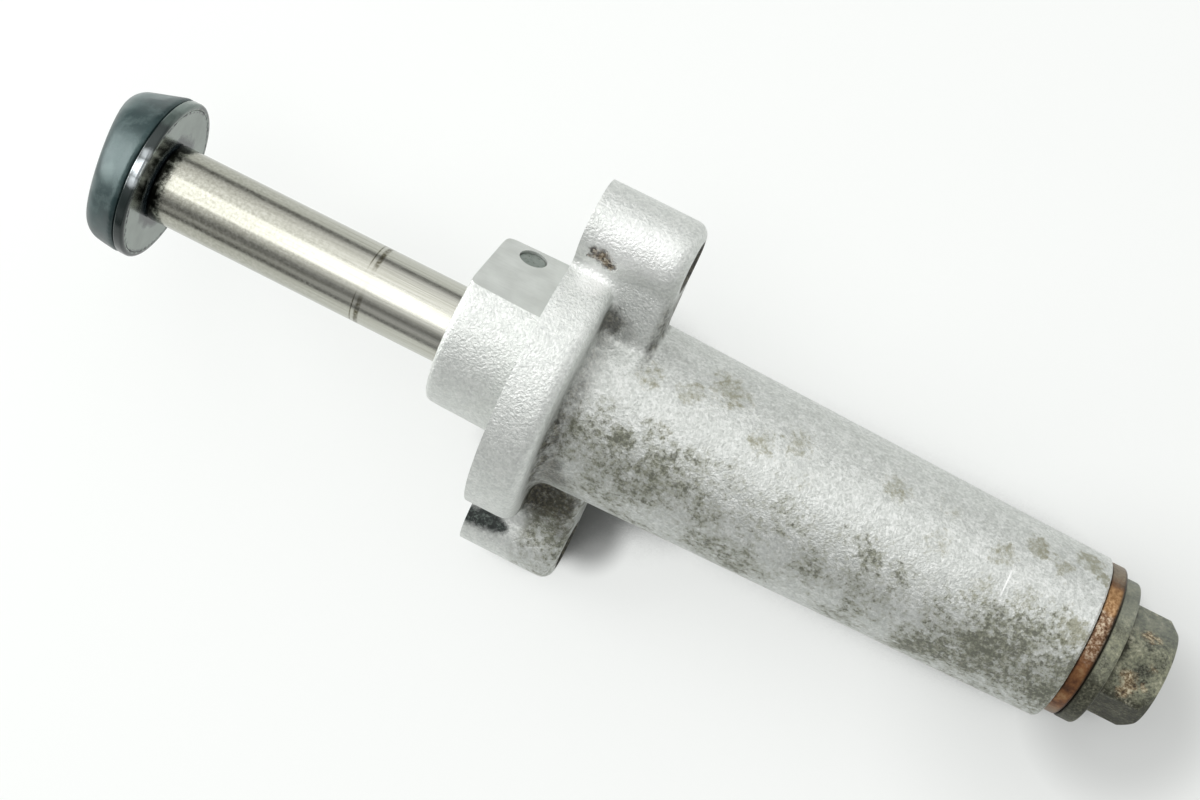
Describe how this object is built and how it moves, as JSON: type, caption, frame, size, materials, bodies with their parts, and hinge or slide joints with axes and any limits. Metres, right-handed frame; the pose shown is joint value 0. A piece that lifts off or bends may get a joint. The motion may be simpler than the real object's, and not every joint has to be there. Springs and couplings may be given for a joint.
{
  "type": "timing chain tensioner",
  "caption": "Spring-loaded timing chain tensioner with a rubber-padded push rod, flanged cast body with bolt ears, ball lock inside and a hex cap bolt on a copper washer.",
  "frame": {"origin": "on the rod's axis, in the flange's mounting face", "axes": "+X along the rod from the mounting face towards the cap bolt, +Z towards the upper ear, on the side of the spigot's milled flat"},
  "size_m": [0.1639, 0.0416, 0.062],
  "materials": {
    "cast_aluminium": "cast, fine grain, oil-stained barrel",
    "polished_steel": "polished, brown oil varnish near the pad",
    "blackened_steel": "black, glossy with oil",
    "black_rubber": "moulded, smooth",
    "ground_steel": "ground",
    "bearing_steel": "polished",
    "spring_steel": "drawn wire, oiled",
    "brass": "turned",
    "copper": "soft copper, tarnished",
    "zinc_plated_steel": "dull plating, stained"
  },
  "bodies": {
    "body": {"tensioner_body": "cast_aluminium", "guide_pin": "ground_steel", "taper_race": "ground_steel", "race_ring": "spring_steel", "spring_guide": "ground_steel", "main_spring": "spring_steel", "cage_spring": "spring_steel", "sealing_washer": "copper", "cap_bolt": "zinc_plated_steel"},
    "rod": {"push_rod": "polished_steel", "pad_plate": "blackened_steel", "rubber_pad": "black_rubber"},
    "cage": {"ball_cage": "brass", "lock_ball_1": "bearing_steel", "lock_ball_2": "bearing_steel", "lock_ball_3": "bearing_steel", "lock_ball_4": "bearing_steel", "lock_ball_5": "bearing_steel", "lock_ball_6": "bearing_steel", "lock_ball_7": "bearing_steel", "lock_ball_8": "bearing_steel"}
  },
  "joints": [
    {"name": "rod_slide", "type": "slide", "parent": "body", "child": "rod", "axis": [1, 0, 0], "range_m": [0, 0.028], "stiffness_N_per_m": 500, "springref_m": -0.03, "deforming": ["main_spring"]},
    {"name": "cage_slide", "type": "slide", "parent": "body", "child": "cage", "axis": [-1, 0, 0], "range_m": [0, 0.0015], "stiffness_N_per_m": 800, "springref_m": -0.006, "deforming": ["cage_spring"]}
  ]
}
